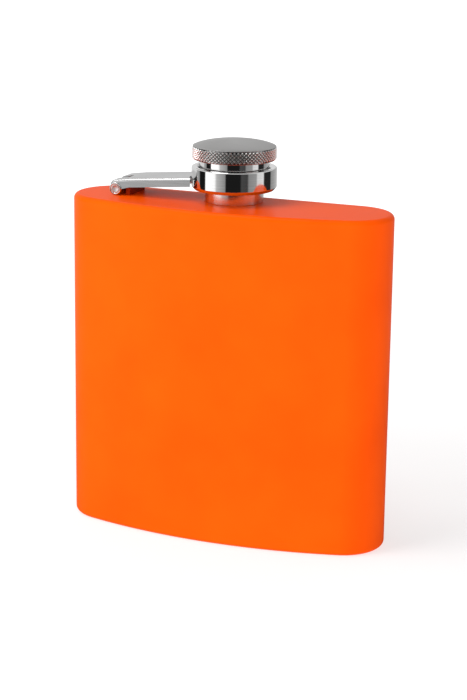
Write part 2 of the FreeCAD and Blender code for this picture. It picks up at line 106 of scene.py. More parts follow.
def new_piece(name, mesh, material, body, replaced):
    mesh.materials.append(material)
    piece = bpy.data.objects.new(name, mesh)
    bpy.context.collection.objects.link(piece)
    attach(piece, body)
    if replaced:
        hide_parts(*replaced)
    return piece


def shade(mesh, sharp_angle=38):
    """Smooth faces, with edges sharper than the angle kept crisp."""
    mesh.polygons.foreach_set("use_smooth", [True] * len(mesh.polygons))
    mesh.set_sharp_from_angle(angle=math.radians(sharp_angle))


def arc_rounded(corners, radius, steps=5):
    """Closed outline whose corners are arcs; a corner may carry its own radius as a third value."""
    points = []
    count = len(corners)
    for index in range(count):
        before, corner, after = (Vector(corners[(index + shift) % count][:2]) for shift in (-1, 0, 1))
        own = corners[index][2] if len(corners[index]) > 2 else radius
        back, ahead = before - corner, after - corner
        opening = back.angle(ahead)
        size = min(own, 0.45 * math.tan(opening / 2) * min(back.length, ahead.length))
        if opening > math.radians(176) or size < 0.01 or corner.x < 1e-6:
            points.append(corner)
            continue
        run = size / math.tan(opening / 2)
        back.normalize()
        ahead.normalize()
        centre = corner + (back + ahead).normalized() * (size / math.sin(opening / 2))
        start = corner + back * run - centre
        finish = corner + ahead * run - centre
        sweep = start.angle(finish)
        points.append(centre + start + back * min(0.04, run))
        for step in range(steps + 1):
            share = step / steps
            blend = start * math.sin((1 - share) * sweep) + finish * math.sin(share * sweep)
            points.append(centre + blend / math.sin(sweep))
        points.append(centre + finish + ahead * min(0.04, run))
    return points


def lathe(name, outline, segments=192, radius_at=None):
    """Solid of revolution about the neck's axis. The outline's points are (radius, height) in mm."""
    work = bmesh.new()
    rings = []
    for point in outline:
        if point[0] < 1e-6:
            rings.append([work.verts.new((0, AXIS_Y, PLATE_Z + point[1] * MM))])
            continue
        ring = []
        for index in range(segments):
            angle = TURN * index / segments
            radius = point[0] if radius_at is None else radius_at(point[0], point[1], angle)
            ring.append(work.verts.new((radius * MM * math.cos(angle), AXIS_Y + radius * MM * math.sin(angle),
                                        PLATE_Z + point[1] * MM)))
        rings.append(ring)
    for one, other in zip(rings, rings[1:] + rings[:1]):
        if len(one) == 1 and len(other) == 1:
            continue
        for index in range(segments):
            following = (index + 1) % segments
            if len(one) == 1:
                work.faces.new((one[0], other[following], other[index]))
            elif len(other) == 1:
                work.faces.new((one[index], one[following], other[0]))
            else:
                work.faces.new((one[index], one[following], other[following], other[index]))
    bmesh.ops.recalc_face_normals(work, faces=work.faces)
    mesh = bpy.data.meshes.new(name)
    work.to_mesh(mesh)
    work.free()
    shade(mesh)
    return mesh


def cad_copy(node, name, bevel, segments=3):
    """Copy of a CAD node's mesh with its triangles joined up and its sharp edges broken by a small bevel."""
    mesh = frame["nodes"][node].data.copy()
    mesh.name = name
    mesh.materials.clear()
    work = bmesh.new()
    work.from_mesh(mesh)
    bmesh.ops.remove_doubles(work, verts=work.verts, dist=1e-6)
    bmesh.ops.dissolve_limit(work, angle_limit=math.radians(0.4), verts=work.verts, edges=work.edges)
    work.to_mesh(mesh)
    work.free()
    holder = bpy.data.objects.new(name + "_work", mesh)
    bpy.context.collection.objects.link(holder)
    modifier = holder.modifiers.new("edges", "BEVEL")
    modifier.width = bevel * MM
    modifier.segments = segments
    modifier.limit_method = "ANGLE"
    modifier.angle_limit = math.radians(35)
    modifier.harden_normals = False
    weights = holder.modifiers.new("weights", "WEIGHTED_NORMAL")
    weights.keep_sharp = True
    shade(mesh, 35)
    graph = bpy.context.evaluated_depsgraph_get()
    result = bpy.data.meshes.new_from_object(holder.evaluated_get(graph), preserve_all_data_layers=True,
                                             depsgraph=graph)
    result.name = name
    bpy.data.objects.remove(holder)
    return result


# ---------------------------------------------------------------- material groups

def group_with(name, inputs, outputs):
    """New shader group with the given sockets: the group, its input node and its output node."""
    group = bpy.data.node_groups.new(name, "ShaderNodeTree")
    for label, kind, value in inputs:
        socket = group.interface.new_socket(label, in_out="INPUT", socket_type=kind)
        socket.default_value = value
    for label, kind in outputs:
        group.interface.new_socket(label, in_out="OUTPUT", socket_type=kind)
    return group, group.nodes.new("NodeGroupInput"), group.nodes.new("NodeGroupOutput")


def math_node(tree, operation, first, second=None, clamp=False):
    """Output of one maths node; each value is a number or another node's output."""
    node = tree.nodes.new("ShaderNodeMath")
    node.operation = operation
    node.use_clamp = clamp
    for index, value in enumerate((first, second)):
        if value is None:
            continue
        if isinstance(value, (int, float)):
            node.inputs[index].default_value = value
        else:
            tree.links.new(value, node.inputs[index])
    return node.outputs[0]


def noise(tree, vector, scale, detail, roughness=0.5):
    """Output of one noise texture; the scale is a number or another node's output."""
    node = tree.nodes.new("ShaderNodeTexNoise")
    node.inputs["Detail"].default_value = detail
    node.inputs["Roughness"].default_value = roughness
    tree.links.new(vector, node.inputs["Vector"])
    if isinstance(scale, (int, float)):
        node.inputs["Scale"].default_value = scale
    else:
        tree.links.new(scale, node.inputs["Scale"])
    return node.outputs["Fac"]


def stretched(tree, vector, factors):
    """The vector with each of its parts multiplied by its own factor."""
    node = tree.nodes.new("ShaderNodeVectorMath")
    node.operation = "MULTIPLY"
    node.inputs[1].default_value = factors
    tree.links.new(vector, node.inputs[0])
    return node.outputs[0]


def vector_length(tree, vector):
    """Length of a vector, as a node output."""
    node = tree.nodes.new("ShaderNodeVectorMath")
    node.operation = "LENGTH"
    tree.links.new(vector, node.inputs[0])
    return node.outputs["Value"]


def remapped(tree, value, start, finish, first=0.0, last=1.0, kind="LINEAR"):
    """The value moved from the range start..finish to first..last, and held at its ends."""
    node = tree.nodes.new("ShaderNodeMapRange")
    node.interpolation_type = kind
    for label, number in (("From Min", start), ("From Max", finish), ("To Min", first), ("To Max", last)):
        node.inputs[label].default_value = number
    tree.links.new(value, node.inputs["Value"])
    return node.outputs["Result"]


def make_handling_group():
    """Faint smudges and hairline scratches that every metal finish has: roughness and height."""
    group, given, out = group_with(
        "handling marks",
        [("Vector", "NodeSocketVector", (0, 0, 0)), ("Roughness", "NodeSocketFloat", 0.1),
         ("Smudge", "NodeSocketFloat", 0.05), ("Scratch", "NodeSocketFloat", 0.3)],
        [("Roughness", "NodeSocketFloat"), ("Height", "NodeSocketFloat")])
    smudge = noise(group, given.outputs["Vector"], 180, 3, 0.55)
    smudge = math_node(group, "MULTIPLY", math_node(group, "SUBTRACT", smudge, 0.45), given.outputs["Smudge"])
    fine = noise(group, stretched(group, given.outputs["Vector"], (600, 4000, 900)), 1.0, 2, 0.6)
    cross = noise(group, stretched(group, given.outputs["Vector"], (3600, 500, 2400)), 1.0, 2, 0.6)
    marks = math_node(group, "MULTIPLY", math_node(group, "ADD", fine, cross), 0.5)
    rough = math_node(group, "ADD", given.outputs["Roughness"], smudge)
    lines = math_node(group, "SUBTRACT", marks, 0.5)
    weight = math_node(group, "MULTIPLY", given.outputs["Scratch"], 0.2)
    rough = math_node(group, "ADD", rough, math_node(group, "MULTIPLY", lines, weight))
    group.links.new(math_node(group, "MAXIMUM", rough, 0.02), out.inputs["Roughness"])
    group.links.new(math_node(group, "MULTIPLY", marks, given.outputs["Scratch"]), out.inputs["Height"])
    return group


def make_brushing_group():
    """Straight brush lines along X: a mask that shades the metal, its roughness and its height."""
    group, given, out = group_with(
        "brushing",
        [("Vector", "NodeSocketVector", (0, 0, 0)), ("Lines", "NodeSocketFloat", 9000.0),
         ("Contrast", "NodeSocketFloat", 0.4)],
        [("Mask", "NodeSocketFloat"), ("Height", "NodeSocketFloat")])
    long_lines = stretched(group, given.outputs["Vector"], (0.022, 1.0, 0.6))
    coarse = noise(group, long_lines, math_node(group, "MULTIPLY", given.outputs["Lines"], 0.4), 3, 0.6)
    fine = noise(group, long_lines, given.outputs["Lines"], 4, 0.7)
    both = math_node(group, "MULTIPLY", math_node(group, "ADD", coarse, fine), 0.5)
    mask = math_node(group, "MULTIPLY", math_node(group, "SUBTRACT", both, 0.5), given.outputs["Contrast"])
    group.links.new(math_node(group, "ADD", mask, 0.5, clamp=True), out.inputs["Mask"])
    group.links.new(both, out.inputs["Height"])
    return group


def make_turning_group():
    """Fine rings left by a lathe, one line above the other: their height and a faint mask."""
    group, given, out = group_with(
        "turning marks",
        [("Vector", "NodeSocketVector", (0, 0, 0)), ("Lines", "NodeSocketFloat", 16000.0)],
        [("Height", "NodeSocketFloat"), ("Mask", "NodeSocketFloat")])
    rings = stretched(group, given.outputs["Vector"], (0.004, 0.004, 1.0))
    fine = noise(group, rings, given.outputs["Lines"], 3, 0.6)
    coarse = noise(group, rings, math_node(group, "MULTIPLY", given.outputs["Lines"], 0.15), 2, 0.5)
    both = math_node(group, "ADD", math_node(group, "MULTIPLY", fine, 0.6),
                     math_node(group, "MULTIPLY", coarse, 0.4))
    group.links.new(both, out.inputs["Height"])
    group.links.new(math_node(group, "SUBTRACT", coarse, 0.5), out.inputs["Mask"])
    return group


HANDLING = make_handling_group()
TURNING = make_turning_group()
BRUSHING = make_brushing_group()


def new_material(name):
    """Empty node material: its tree, its shader and the object coordinates."""
    material = bpy.data.materials.new(name)
    material.use_nodes = True
    tree = material.node_tree
    tree.nodes.clear()
    shader = tree.nodes.new("ShaderNodeBsdfPrincipled")
    output = tree.nodes.new("ShaderNodeOutputMaterial")
    tree.links.new(shader.outputs[0], output.inputs["Surface"])
    place = tree.nodes.new("ShaderNodeTexCoord").outputs["Object"]
    return material, tree, shader, place


def add_group(tree, group, **values):
    """Place a shared group in a material and set its inputs."""
    node = tree.nodes.new("ShaderNodeGroup")
    node.node_tree = group
    for label, value in values.items():
        if isinstance(value, (int, float)):
            node.inputs[label].default_value = value
        else:
            tree.links.new(value, node.inputs[label])
    return node


def add_bump(tree, shader, height_output, distance):
    """Fine relief; the distance is in metres."""
    bump = tree.nodes.new("ShaderNodeBump")
    bump.inputs["Distance"].default_value = distance
    tree.links.new(height_output, bump.inputs["Height"])
    tree.links.new(bump.outputs["Normal"], shader.inputs["Normal"])


def ramp(tree, factor, stops):
    """Colour ramp through stops of (position, colour)."""
    node = tree.nodes.new("ShaderNodeValToRGB")
    elements = node.color_ramp.elements
    elements.remove(elements[1])
    elements[0].position = stops[0][0]
    elements[0].color = (*stops[0][1], 1)
    for position, colour in stops[1:]:
        elements.new(position).color = (*colour, 1)
    tree.links.new(factor, node.inputs["Fac"])
    return node.outputs["Color"]


def make_paint(name, low, high):
    """Satin orange powder paint: very fine orange peel and a faint drift of colour."""
    material, tree, shader, place = new_material(name)
    drift = noise(tree, place, 45, 3, 0.5)
    colour = ramp(tree, drift, [(0.3, low), (0.7, high)])
    tree.links.new(colour, shader.inputs["Base Color"])
    peel = noise(tree, place, 1500, 2, 0.45)
    grain = noise(tree, place, 5200, 1, 0.5)
    swing = math_node(tree, "MULTIPLY", math_node(tree, "SUBTRACT", drift, 0.5), 0.1)
    rough = math_node(tree, "ADD", 0.33, swing)
    rough = math_node(tree, "ADD", rough, math_node(tree, "MULTIPLY", grain, 0.04))
    tree.links.new(rough, shader.inputs["Roughness"])
    shader.inputs["Specular IOR Level"].default_value = 0.035
    relief = math_node(tree, "ADD", math_node(tree, "MULTIPLY", peel, 0.8),
                       math_node(tree, "MULTIPLY", grain, 0.25))
    add_bump(tree, shader, relief, 0.000006)
    return material


def make_polished(name, base_rough, ring_depth):
    """Polished stainless steel of the turned pieces, with faint lathe rings."""
    material, tree, shader, place = new_material(name)
    shader.inputs["Metallic"].default_value = 1.0
    rings = add_group(tree, TURNING, Vector=place, Lines=16000.0)
    tone = math_node(tree, "ADD", rings.outputs["Mask"], 0.5)
    tree.links.new(ramp(tree, tone, [(0.2, (0.74, 0.735, 0.73)), (0.8, (0.88, 0.875, 0.87))]),
                   shader.inputs["Base Color"])
    marks = add_group(tree, HANDLING, Vector=place, Roughness=base_rough, Smudge=0.08, Scratch=0.25)
    tree.links.new(marks.outputs["Roughness"], shader.inputs["Roughness"])
    add_bump(tree, shader, rings.outputs["Height"], ring_depth * MM)
    return material


def make_pin_metal():
    """Plain drawn steel of the pins and the snap ring."""
    material, tree, shader, place = new_material("drawn_steel")
    shader.inputs["Base Color"].default_value = (0.72, 0.72, 0.71, 1)
    shader.inputs["Metallic"].default_value = 1.0
    marks = add_group(tree, HANDLING, Vector=place, Roughness=0.24, Smudge=0.12, Scratch=0.7)
    tree.links.new(marks.outputs["Roughness"], shader.inputs["Roughness"])
    add_bump(tree, shader, marks.outputs["Height"], 0.000004)
    return material


def make_brushed(name, dark, light, rough_flat, rough_side):
    """Brushed where the piece faces up, polished down its sides."""
    material, tree, shader, place = new_material(name)
    shader.inputs["Metallic"].default_value = 1.0
    shader.inputs["Anisotropic"].default_value = 0.35
    brushed = add_group(tree, BRUSHING, Vector=place, Lines=9000.0, Contrast=0.7)
    colour = ramp(tree, brushed.outputs["Mask"], [(0.25, dark), (0.75, light)])
    tree.links.new(colour, shader.inputs["Base Color"])
    marks = add_group(tree, HANDLING, Vector=place, Roughness=0.0, Smudge=0.1, Scratch=0.4)
    facing = tree.nodes.new("ShaderNodeSeparateXYZ")
    coordinates = tree.nodes.new("ShaderNodeTexCoord")
    tree.links.new(coordinates.outputs["Normal"], facing.inputs[0])
    up = remapped(tree, facing.outputs["Z"], 0.55, 0.95, rough_side, rough_flat)
    line_rough = math_node(tree, "MULTIPLY", math_node(tree, "SUBTRACT", brushed.outputs["Mask"], 0.5), 0.2)
    rough = math_node(tree, "ADD", up, line_rough)
    rough = math_node(tree, "ADD", rough, marks.outputs["Roughness"])
    tree.links.new(rough, shader.inputs["Roughness"])
    depth = math_node(tree, "MULTIPLY", brushed.outputs["Height"],
                      math_node(tree, "MULTIPLY", up, 1 / rough_flat))
    add_bump(tree, shader, depth, 0.000012)
    return material


def make_knurl_metal():
    """Rolled knurl: bright, slightly worn crests over grooves darkened in colour as painted shade."""
    material, tree, shader, place = new_material("knurl_steel")
    shader.inputs["Metallic"].default_value = 1.0
    offset = tree.nodes.new("ShaderNodeVectorMath")
    offset.operation = "SUBTRACT"
    offset.inputs[1].default_value = (0, AXIS_Y, 0)
    tree.links.new(place, offset.inputs[0])
    flat = stretched(tree, offset.outputs[0], (1, 1, 0))
    top = HEAD_RADIUS * MM
    groove_shade_and_crest_wear = remapped(tree, vector_length(tree, flat), top - KNURL_DEPTH * MM, top)
    # The base colour darkens towards the groove bottoms: painted shade in the knurl's recesses.
    colour = ramp(tree, groove_shade_and_crest_wear, [(0.0, (0.12, 0.118, 0.115)), (0.55, (0.80, 0.79, 0.78)),
                                           (1.0, (0.95, 0.94, 0.93))])
    tree.links.new(colour, shader.inputs["Base Color"])
    marks = add_group(tree, HANDLING, Vector=place, Roughness=0.31, Smudge=0.1, Scratch=0.5)
    tree.links.new(marks.outputs["Roughness"], shader.inputs["Roughness"])
    add_bump(tree, shader, marks.outputs["Height"], 0.000005)
    return material


def make_seal_plastic():
    """Off-white soft plastic, faintly uneven."""
    material, tree, shader, place = new_material("seal_plastic")
    tone = noise(tree, place, 600, 3)
    tree.links.new(ramp(tree, tone, [(0.3, (0.74, 0.73, 0.69)), (0.7, (0.84, 0.83, 0.80))]),
                   shader.inputs["Base Color"])
    rough = math_node(tree, "ADD", 0.4, math_node(tree, "MULTIPLY", tone, 0.15))
    tree.links.new(rough, shader.inputs["Roughness"])
    add_bump(tree, shader, tone, 0.00001)
    return material


# ---------------------------------------------------------------- body

def plan_ring(inset, steps_front=96, steps_end=44):
    """Plan of the body drawn inwards by inset: points and outward directions, in millimetres."""
    half_width = BODY_WIDTH / 2 - inset
    half_depth = BODY_DEPTH / 2 - inset
    end = END_RADIUS - inset
    reach = half_width - end
    bow = half_depth + reach ** 2 / (4 * (half_depth - end))
    lean = math.asin(reach / (bow - end))
    points = []
    for step in range(steps_front + 1):
        angle = -lean + 2 * lean * step / steps_front
        points.append((bow * math.sin(angle), bow - half_depth - bow * math.cos(angle), angle))
    for step in range(1, steps_end + 1):
        angle = lean + (math.pi - lean) * step / steps_end
        points.append((reach + end * math.sin(angle), half_depth - end - end * math.cos(angle), angle))
    back_steps = 24
    for step in range(1, back_steps):
        points.append((reach - 2 * reach * step / back_steps, half_depth, math.pi))
    for step in range(steps_end):
        angle = math.pi + (math.pi - lean) * step / steps_end
        points.append((-reach + end * math.sin(angle), half_depth - end - end * math.cos(angle), angle))
    return [(Vector((x, y)), Vector((math.sin(angle), -math.cos(angle)))) for x, y, angle in points]


def stacked_mesh(name, rows):
    """Ring-shaped surface through rows of (position, normal) pairs, in metres, closed on its first row."""
    work = bpy.data.meshes.new(name)
    count = len(rows[0])
    places = [place for row in rows for place, _ in row]
    normals = [normal for row in rows for _, normal in row]
    faces = []
    total = len(rows)
    for level in range(total):
        upper = (level + 1) % total
        for index in range(count):
            following = (index + 1) % count
            faces.append((level * count + index, level * count + following,
                          upper * count + following, upper * count + index))
    work.from_pydata(places, [], faces)
    work.polygons.foreach_set("use_smooth", [True] * len(faces))
    work.normals_split_custom_set_from_vertices(normals)
    return work


def level_ring(inset, z, tilt):
    """One ring of the body: drawn inwards by inset at height z, its normal tilted up by tilt."""
    row = []
    for point, outward in plan_ring(inset):
        normal = Vector((outward.x * math.cos(tilt), outward.y * math.cos(tilt), math.sin(tilt)))
        row.append((Vector((point.x * MM, point.y * MM, z)), normal))
    return row


def hole_ring(z, normal_z, share=1.0):
    """Ring of the neck's hole in the top plate, with as many points as the plan."""
    centre = Vector((0, AXIS_Y / MM))
    row = []
    for point, _ in plan_ring(0):
        spoke = (point - centre).normalized()
        place = centre + spoke * PLATE_HOLE * share
        row.append((Vector((place.x * MM, place.y * MM, z)), Vector((0, 0, normal_z))))
    return row


def make_shell(material):
    """Wrapped sheet with its inner face."""
    low, high = (corner.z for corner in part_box("body_shell"))
    levels = 6
    rows = [level_ring(0, low + (high - low) * level / levels, 0) for level in range(levels + 1)]
    inner = [level_ring(SHEET, high - (high - low) * level / levels, 0) for level in range(levels + 1)]
    rows += [[(place, -normal) for place, normal in row] for row in inner]
    mesh = stacked_mesh("painted_shell", rows)
    return new_piece("painted_shell", mesh, material, "flask", ["body_shell"])


def make_end(name, node, upwards, material):
    """Pressed end plate with its turned rim; the top one has the neck's hole."""
    sign = 1 if upwards else -1
    face_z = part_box(node)[1 if upwards else 0].z
    rim_z = face_z - sign * EDGE_RADIUS * MM
    steps = 14
    rows = []
    for step in range(steps + 1):
        angle = math.pi / 2 * step / steps
        rows.append(level_ring(EDGE_RADIUS * (1 - math.cos(angle)),
                               rim_z + sign * EDGE_RADIUS * MM * math.sin(angle), sign * angle))
    inner_radius = EDGE_RADIUS - SHEET
    under = []
    for step in range(steps + 1):
        angle = math.pi / 2 * (1 - step / steps)
        row = level_ring(SHEET + inner_radius * (1 - math.cos(angle)),
                         rim_z + sign * inner_radius * MM * math.sin(angle), sign * angle)
        under.append([(place, -normal) for place, normal in row])
    share = 1.0 if upwards else 0.01
    rows.append(hole_ring(face_z, sign, share))
    rows.append(hole_ring(face_z - sign * SHEET * MM, -sign, share))
    rows += under
    if not upwards:
        rows.reverse()
    mesh = stacked_mesh(name, rows)
    return new_piece(name, mesh, material, "flask", [node])


# ---------------------------------------------------------------- neck and cap

def thread_ridge(angle, z, low, high, phase):
    """How far a right-hand thread stands out at this angle and height, from 0 to 1."""
    place = (z - low) / THREAD_LEAD - angle / TURN + phase
    wave = 1 - abs(2 * (place - math.floor(place)) - 1)
    ridge = min(max((wave - 0.28) / 0.42, 0), 1)
    fade = min((z - low) / 0.35, (high - z) / 0.35, 1)
    return ridge * max(fade, 0)


def make_neck(material):
    """Neck: foot in the plate's hole, threaded part, plain pilot and bore."""
    top = height("neck", 1)
    bottom = height("neck", 0)
    foot_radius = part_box("neck")[1].x / MM
    root = THREAD_CREST - THREAD_DEPTH
    thread_rows = 46
    outline = arc_rounded([(NECK_BORE, bottom), (PLATE_HOLE, bottom), (PLATE_HOLE, 0.02, 0),
                           (foot_radius, 0.02, 0.12),
                           (foot_radius, FOOT_HEIGHT, 0.3), (root, FOOT_HEIGHT, 0.1)], 0.1)
    span = THREAD_HIGH - THREAD_LOW
    zone = [(root, THREAD_LOW + span * row / thread_rows) for row in range(thread_rows + 1)]
    outline += [Vector(point) for point in zone]
    tail = arc_rounded([(root, THREAD_HIGH), (PLATE_HOLE, THREAD_HIGH + 0.1), (PLATE_HOLE, top, 0.25),
                        (NECK_BORE, top, 0.2), (NECK_BORE, bottom)], 0.1)
    outline += tail[1:-1]

    def radius_at(radius, z, angle):
        if abs(radius - root) > 1e-6 or not THREAD_LOW < z < THREAD_HIGH:
            return radius
        return root + THREAD_DEPTH * thread_ridge(angle, z, THREAD_LOW, THREAD_HIGH, 0)

    mesh = lathe("neck_turned", outline, 160, radius_at)
    return new_piece("neck_turned", mesh, material, "flask", ["neck"])


def make_collar(material):
    """Collar: bevelled ring with a lip at the top and the snap ring's groove inside."""
    low = height("collar_ring", 0)
    high = height("collar_ring", 1)
    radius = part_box("collar_ring")[1].x / MM
    outline = arc_rounded([(COLLAR_GROOVE, low), (radius - 0.75, low, 0.18), (radius, low + 0.9, 0.3),
                           (radius, high, 0.42), (COLLAR_BORE + 0.45, high, 0.3),
                           (COLLAR_BORE, high - 0.45, 0.15), (COLLAR_BORE, high - COLLAR_LIP),
                           (COLLAR_GROOVE, high - COLLAR_LIP)], 0.12)
    mesh = lathe("collar_turned", outline, 224)
    return new_piece("collar_turned", mesh, material, "collar", ["collar_ring"])


def make_snap_ring(material):
    """Wire ring that keeps the cap in the collar."""
    low = height("snap_ring", 0)
    high = height("snap_ring", 1)
    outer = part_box("snap_ring")[1].x / MM
    outline = arc_rounded([(SNAP_RING_BORE, low), (outer, low), (outer, high), (SNAP_RING_BORE, high)], 0.2)
    mesh = lathe("snap_ring_wire", outline, 128)
    return new_piece("snap_ring_wire", mesh, material, "retainer", ["snap_ring"])


def make_skirt(material):
    """Skirt of the cap: threaded cup with the snap ring's groove outside and a spigot into the head."""
    low = height("cap_skirt", 0)
    top = height("cap_head", 0)
    ceiling = height("cap_seal", 1)
    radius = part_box("cap_skirt")[1].x / MM
    ring_low, ring_high = height("snap_ring", 0) - 0.05, height("snap_ring", 1) + 0.05
    bore = THREAD_CREST + 0.1
    start, stop = low + 0.3, low + 3.0
    thread_rows = 70
    outline = arc_rounded([(0, ceiling), (0, top + SPIGOT_HEIGHT), (SPIGOT_RADIUS, top + SPIGOT_HEIGHT),
                           (SPIGOT_RADIUS, top), (radius, top),
                           (radius, ring_high), (radius - 0.5, ring_high), (radius - 0.5, ring_low),
                           (radius, ring_low), (radius, low, 0.25), (bore, low, 0.2), (bore, start)], 0.06)
    zone = [Vector((bore, start + (stop - start) * row / thread_rows)) for row in range(thread_rows + 1)]
    outline = outline[:-1] + zone + [Vector((bore, ceiling))]

    def radius_at(size, z, angle):
        if abs(size - bore) > 1e-6 or not start < z < stop:
            return size
        offset = (start - THREAD_LOW) / THREAD_LEAD
        return bore - 0.42 * thread_ridge(angle, z, start, stop, 0.5 + offset)

    mesh = lathe("skirt_turned", outline, 160, radius_at)
    return new_piece("skirt_turned", mesh, material, "cap", ["cap_skirt"])


def make_seal(material):
    """Seal: soft disc with a raised rim that meets the neck."""
    low = height("cap_seal", 0)
    high = height("cap_seal", 1)
    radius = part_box("cap_seal")[1].x / MM
    outline = arc_rounded([(0, low + 0.25), (3.2, low + 0.25), (3.6, low, 0.3), (radius, low, 0.25),
                           (radius, high), (0, high)], 0.1)
    mesh = lathe("seal_disc", outline, 96)
    return new_piece("seal_disc", mesh, material, "cap", ["cap_seal"])


HEAD_LOW = height("cap_head", 0)
HEAD_HIGH = height("cap_head", 1)
HEAD_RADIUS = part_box("cap_head")[1].x / MM
BAND_TOP = HEAD_LOW + BAND_HEIGHT


def make_head(material):
    """Head of the cap: plain blank under the knurl, a bright bevel and the brushed dome."""
    blank = HEAD_RADIUS - KNURL_DEPTH
    rise = HEAD_HIGH - BAND_TOP
    edge = HEAD_RADIUS - 0.35
    outline = arc_rounded([(0, HEAD_LOW + SPIGOT_HEIGHT), (SPIGOT_RADIUS, HEAD_LOW + SPIGOT_HEIGHT),
                           (SPIGOT_RADIUS, HEAD_LOW),
                           (HEAD_RADIUS - 0.45, HEAD_LOW, 0.12), (blank, HEAD_LOW + 0.16, 0.1),
                           (blank, BAND_TOP - 0.12, 0.05), (HEAD_RADIUS - 0.16, BAND_TOP - 0.06, 0.05)], 0.1)
    dome_steps = 48
    dome = []
    for step in range(dome_steps):
        share = math.cos(math.pi / 2 * step / dome_steps)
        dome.append(Vector((edge * share, BAND_TOP + rise * (1 - share ** 2.5) ** 0.85)))
    mesh = lathe("head_blank", outline + dome + [Vector((0, HEAD_HIGH))], 224)
    return new_piece("head_blank", mesh, material, "cap", ["cap_head"])


def make_knurl_tree():
    """Pyramids in staggered rows round a cylinder: a rolled diamond knurl."""
    tree = bpy.data.node_groups.new("diamond knurl", "GeometryNodeTree")
    tree.is_modifier = True
    face = tree.interface
    for label, kind in (("Teeth", "NodeSocketInt"), ("Rows", "NodeSocketInt"), ("Radius", "NodeSocketFloat"),
                        ("Depth", "NodeSocketFloat"), ("Low", "NodeSocketFloat"), ("High", "NodeSocketFloat"),
                        ("Axis Y", "NodeSocketFloat"), ("Seed", "NodeSocketInt"),
                        ("Material", "NodeSocketMaterial")):
        face.new_socket(label, in_out="INPUT", socket_type=kind)
    face.new_socket("Geometry", in_out="OUTPUT", socket_type="NodeSocketGeometry")
    given = tree.nodes.new("NodeGroupInput").outputs
    out = tree.nodes.new("NodeGroupOutput")

    points = tree.nodes.new("GeometryNodePoints")
    tree.links.new(math_node(tree, "MULTIPLY", given["Teeth"], given["Rows"]), points.inputs["Count"])
    index = tree.nodes.new("GeometryNodeInputIndex").outputs[0]
    row = math_node(tree, "FLOOR", math_node(tree, "DIVIDE", index, given["Teeth"]))
    column = math_node(tree, "MODULO", index, given["Teeth"])
    half = math_node(tree, "MULTIPLY", math_node(tree, "MODULO", row, 2), 0.5)
    step = math_node(tree, "DIVIDE", TURN, given["Teeth"])
    angle = math_node(tree, "MULTIPLY", math_node(tree, "ADD", column, half), step)
    band = math_node(tree, "SUBTRACT", given["High"], given["Low"])
    pitch_z = math_node(tree, "DIVIDE", band, math_node(tree, "ADD", given["Rows"], 1))
    z = math_node(tree, "ADD", given["Low"],
                      math_node(tree, "MULTIPLY", math_node(tree, "ADD", row, 1), pitch_z))
    base = math_node(tree, "SUBTRACT", given["Radius"], given["Depth"])
    combine = tree.nodes.new("ShaderNodeCombineXYZ")
    tree.links.new(math_node(tree, "MULTIPLY", base, math_node(tree, "COSINE", angle)), combine.inputs[0])
    y = math_node(tree, "MULTIPLY", base, math_node(tree, "SINE", angle))
    tree.links.new(math_node(tree, "ADD", y, given["Axis Y"]), combine.inputs[1])
    tree.links.new(z, combine.inputs[2])
    moved = tree.nodes.new("GeometryNodeSetPosition")
    tree.links.new(points.outputs[0], moved.inputs["Geometry"])
    tree.links.new(combine.outputs[0], moved.inputs["Position"])

    cap = tree.nodes.new("GeometryNodeMeshCone")
    cap.inputs["Vertices"].default_value = 4
    cap.inputs["Radius Top"].default_value = KNURL_FLAT
    cap.inputs["Radius Bottom"].default_value = 1.0
    cap.inputs["Depth"].default_value = 1.0
    turned = tree.nodes.new("GeometryNodeTransform")
    turned.inputs["Rotation"].default_value = (0, math.pi / 2, 0)
    tree.links.new(cap.outputs["Mesh"], turned.inputs["Geometry"])

    width = math_node(tree, "MULTIPLY", math_node(tree, "MULTIPLY", step, given["Radius"]), 0.505)
    scale = tree.nodes.new("ShaderNodeCombineXYZ")
    tree.links.new(given["Depth"], scale.inputs[0])
    tree.links.new(width, scale.inputs[1])
    tree.links.new(math_node(tree, "MULTIPLY", pitch_z, 1.02), scale.inputs[2])
    spin = tree.nodes.new("ShaderNodeCombineXYZ")
    tree.links.new(angle, spin.inputs[2])
    place = tree.nodes.new("GeometryNodeInstanceOnPoints")
    tree.links.new(moved.outputs[0], place.inputs["Points"])
    tree.links.new(turned.outputs[0], place.inputs["Instance"])
    tree.links.new(spin.outputs[0], place.inputs["Rotation"])
    wobble = tree.nodes.new("FunctionNodeRandomValue")
    wobble.data_type = "FLOAT"
    wobble.inputs[2].default_value = 0.93
    wobble.inputs[3].default_value = 1.0
    tree.links.new(given["Seed"], wobble.inputs["Seed"])
    uneven = tree.nodes.new("ShaderNodeVectorMath")
    uneven.operation = "SCALE"
    tree.links.new(scale.outputs[0], uneven.inputs[0])
    tree.links.new(wobble.outputs[1], uneven.inputs["Scale"])
    tree.links.new(uneven.outputs[0], place.inputs["Scale"])
    real = tree.nodes.new("GeometryNodeRealizeInstances")
    tree.links.new(place.outputs[0], real.inputs[0])
    finish = tree.nodes.new("GeometryNodeSetMaterial")
    tree.links.new(real.outputs[0], finish.inputs["Geometry"])
    tree.links.new(given["Material"], finish.inputs["Material"])
    tree.links.new(finish.outputs[0], out.inputs[0])
    return tree


